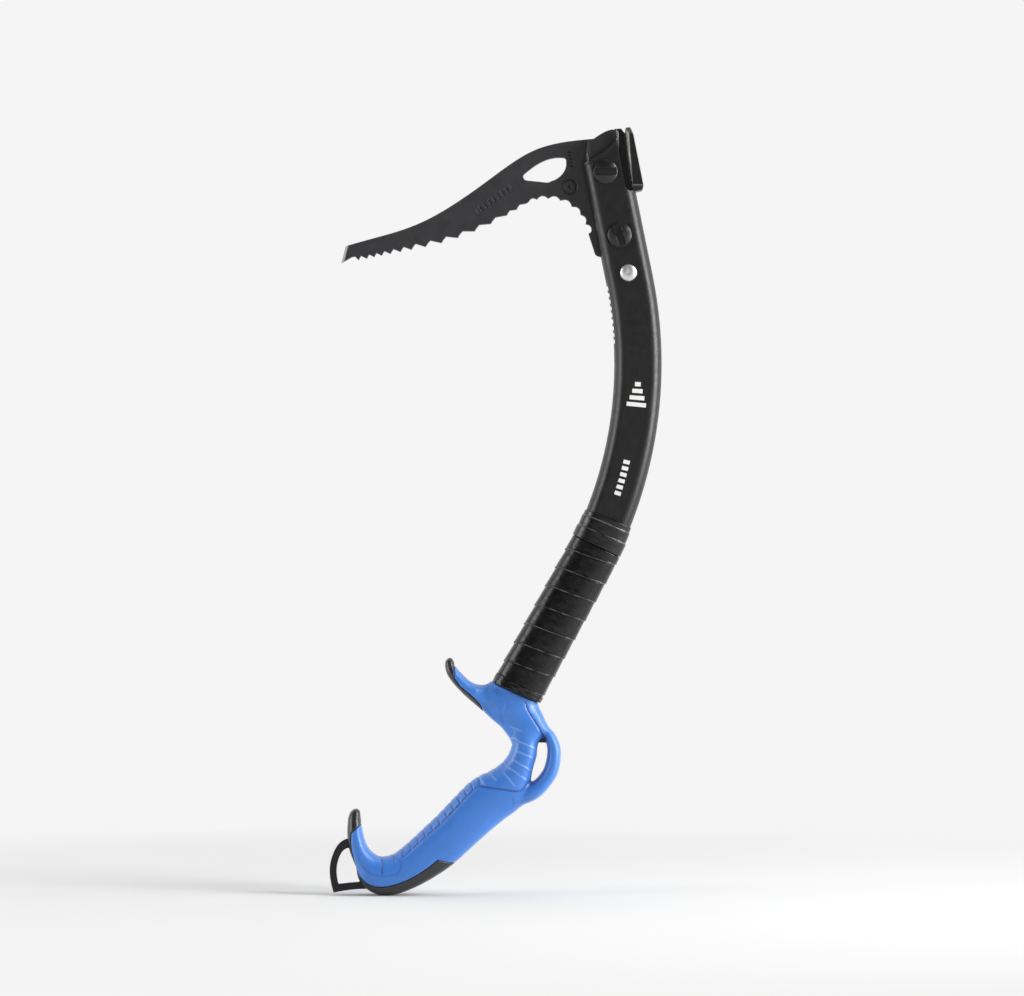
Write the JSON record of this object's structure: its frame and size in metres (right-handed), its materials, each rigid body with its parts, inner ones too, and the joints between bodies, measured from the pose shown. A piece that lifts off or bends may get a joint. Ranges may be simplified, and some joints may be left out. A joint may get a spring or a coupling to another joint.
{
  "type": "ice axe",
  "caption": "Technical ice axe: toothed steel pick and small hammer on a bent oval shaft, taped lower shaft and offset rubber grip with finger rests and a clip-in hoop.",
  "frame": {"origin": "centre of the palm section of the rubber grip, where the hand closes", "axes": "+Z from the grip up towards the head, the pick points to -X and the hammer to +X, Y is across the tool's thin side"},
  "size_m": [0.2058, 0.0264, 0.4758],
  "materials": {
    "shaft_black": "satin black anodised",
    "pick_steel": "matte dark coated steel",
    "hammer_steel": "satin black coated steel",
    "cheek_alloy": "matte black anodised",
    "bolt_black": "gloss black",
    "rivet_steel": "polished",
    "tape_black": "satin",
    "tape_gloss": "semi-gloss",
    "nylon_black": "matte",
    "nylon_gloss": "satin",
    "rubber_blue": "satin",
    "hoop_steel": "matte black",
    "pin_steel": "plain"
  },
  "bodies": {
    "axe": {"shaft_tube": "shaft_black", "pick": "pick_steel", "hammer": "hammer_steel", "head_cheek_near": "cheek_alloy", "head_cheek_far": "cheek_alloy", "upper_pick_nut": "bolt_black", "lower_pick_nut": "bolt_black", "head_rivet": "rivet_steel", "grip_tape": "tape_black", "finishing_tape": "tape_gloss", "tape_end_ring": "tape_gloss", "handle_core": "nylon_black", "rubber_grip": "rubber_blue", "trigger_insert": "nylon_gloss", "pommel_shell": "nylon_gloss", "spike_hoop": "hoop_steel", "hoop_pins": "pin_steel", "shaft_pins": "pin_steel"},
    "upper_bolt": {"upper_pick_bolt": "bolt_black"},
    "lower_bolt": {"lower_pick_bolt": "bolt_black"}
  },
  "joints": [
    {"name": "upper_bolt_turn", "type": "hinge", "parent": "axe", "child": "upper_bolt", "pos_m": [0.0928, 0, 0.4075], "axis": [0, 1, 0], "continuous": true},
    {"name": "lower_bolt_turn", "type": "hinge", "parent": "axe", "child": "lower_bolt", "pos_m": [0.1015, 0, 0.3683], "axis": [0, 1, 0], "continuous": true}
  ]
}
